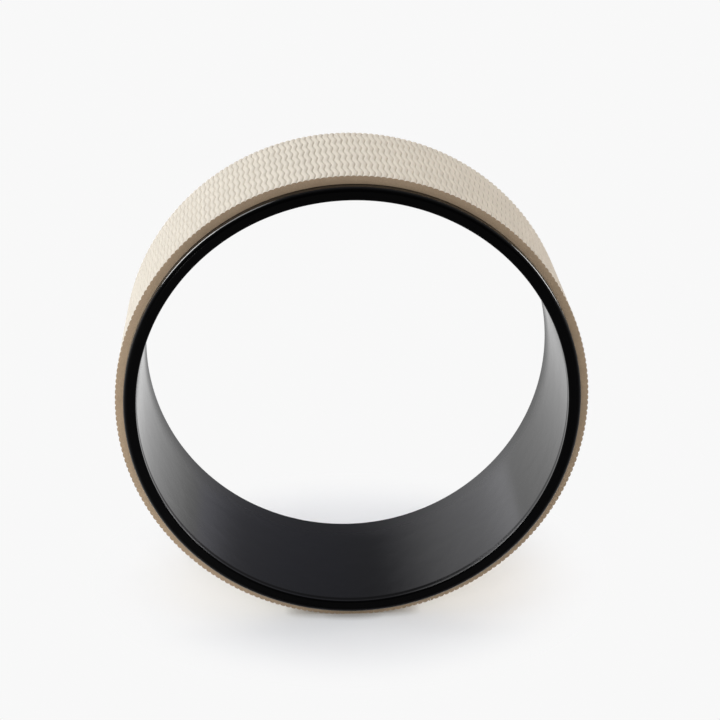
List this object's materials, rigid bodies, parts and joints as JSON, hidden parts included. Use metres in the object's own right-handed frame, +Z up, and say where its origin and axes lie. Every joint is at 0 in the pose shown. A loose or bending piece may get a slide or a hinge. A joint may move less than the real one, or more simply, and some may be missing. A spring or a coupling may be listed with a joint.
{
  "type": "yoga wheel",
  "caption": "Yoga wheel that stands on its tread: a rigid black hoop with chamfered rims and a wavy-ribbed cream and taupe foam strip glued round it.",
  "frame": {"origin": "centre of the wheel, on its axle line and midway across its width", "axes": "+Y along the axle line towards the back, +Z up, +X to the right seen from the front"},
  "size_m": [0.33, 0.13, 0.3295],
  "materials": {
    "hoop_plastic": "satin black moulded plastic",
    "adhesive": "tacky translucent adhesive film",
    "foam": "matt taupe foam, fine cells on the cut edge",
    "skin": "matt cream embossed skin"
  },
  "bodies": {
    "root": {"core_hoop": "hoop_plastic", "adhesive_film": "adhesive", "foam_base": "foam", "tread_skin": "skin"}
  },
  "joints": []
}
